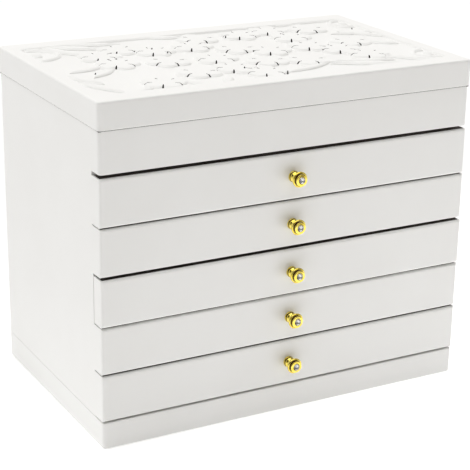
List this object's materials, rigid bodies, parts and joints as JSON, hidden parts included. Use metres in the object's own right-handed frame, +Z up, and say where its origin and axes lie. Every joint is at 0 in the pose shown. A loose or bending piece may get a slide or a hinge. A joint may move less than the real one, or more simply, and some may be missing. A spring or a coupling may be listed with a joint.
{
  "type": "jewelry organizer",
  "caption": "White jewellery organizer with overlay drawers on crystal knobs, a velvet-lined tray and a hinged lid with floral fretwork.",
  "frame": {"origin": "centre of the underside of the bottom board, under the case's footprint", "axes": "+X to the right along the width, +Y to the back, +Z up; the knobs face -Y"},
  "size_m": [0.3016, 0.2076, 0.2535],
  "materials": {
    "painted_board": "white satin paint on fibreboard",
    "drawer_board": "thinly painted board",
    "velvet": "dark velvet over card",
    "gold": "polished gold plating",
    "crystal": "clear faceted glass",
    "mirror": "silvered glass",
    "screw_steel": "zinc plated"
  },
  "bodies": {
    "case": {"back_panel": "painted_board", "bottom_board": "drawer_board", "case_hinge_leaves": "gold", "case_hinge_screws": "gold", "drawer_runners": "drawer_board", "hinge_pins": "gold", "left_side_panel": "painted_board", "plinth_back_rail": "painted_board", "plinth_front_rail": "painted_board", "plinth_side_rails": "painted_board", "right_side_panel": "painted_board", "ring_rolls": "velvet", "tray_back_rail": "painted_board", "tray_floor": "drawer_board", "tray_front_rail": "painted_board", "tray_insert": "velvet"},
    "lid": {"lid_back_rail": "painted_board", "lid_fretwork": "painted_board", "lid_front_rail": "painted_board", "lid_hinge_leaves": "gold", "lid_hinge_screws": "gold", "lid_lining": "velvet", "lid_mirror": "mirror", "lid_panel": "painted_board", "lid_side_rails": "painted_board"},
    "drawer_1": {"drawer_1_box": "drawer_board", "drawer_1_crystal": "crystal", "drawer_1_floor": "drawer_board", "drawer_1_front": "painted_board", "drawer_1_insert": "velvet", "drawer_1_knob": "gold", "drawer_1_screw": "screw_steel"},
    "drawer_2": {"drawer_2_box": "drawer_board", "drawer_2_crystal": "crystal", "drawer_2_floor": "drawer_board", "drawer_2_front": "painted_board", "drawer_2_insert": "velvet", "drawer_2_knob": "gold", "drawer_2_screw": "screw_steel"},
    "drawer_3": {"drawer_3_box": "drawer_board", "drawer_3_crystal": "crystal", "drawer_3_floor": "drawer_board", "drawer_3_front": "painted_board", "drawer_3_insert": "velvet", "drawer_3_knob": "gold", "drawer_3_screw": "screw_steel"},
    "drawer_4": {"drawer_4_box": "drawer_board", "drawer_4_crystal": "crystal", "drawer_4_floor": "drawer_board", "drawer_4_front": "painted_board", "drawer_4_insert": "velvet", "drawer_4_knob": "gold", "drawer_4_screw": "screw_steel"},
    "drawer_5": {"drawer_5_box": "drawer_board", "drawer_5_crystal": "crystal", "drawer_5_floor": "drawer_board", "drawer_5_front": "painted_board", "drawer_5_insert": "velvet", "drawer_5_knob": "gold", "drawer_5_screw": "screw_steel"}
  },
  "joints": [
    {"name": "lid_hinge", "type": "hinge", "parent": "case", "child": "lid", "pos_m": [0, 0.0965, 0.2336], "axis": [-1, 0, 0], "range_deg": [0, 95]},
    {"name": "drawer_1_slide", "type": "slide", "parent": "case", "child": "drawer_1", "axis": [0, -1, 0], "range_m": [0, 0.125]},
    {"name": "drawer_2_slide", "type": "slide", "parent": "case", "child": "drawer_2", "axis": [0, -1, 0], "range_m": [0, 0.125]},
    {"name": "drawer_3_slide", "type": "slide", "parent": "case", "child": "drawer_3", "axis": [0, -1, 0], "range_m": [-0.0008, 0.1242]},
    {"name": "drawer_4_slide", "type": "slide", "parent": "case", "child": "drawer_4", "axis": [0, -1, 0], "range_m": [0, 0.125]},
    {"name": "drawer_5_slide", "type": "slide", "parent": "case", "child": "drawer_5", "axis": [0, -1, 0], "range_m": [0, 0.125]}
  ]
}
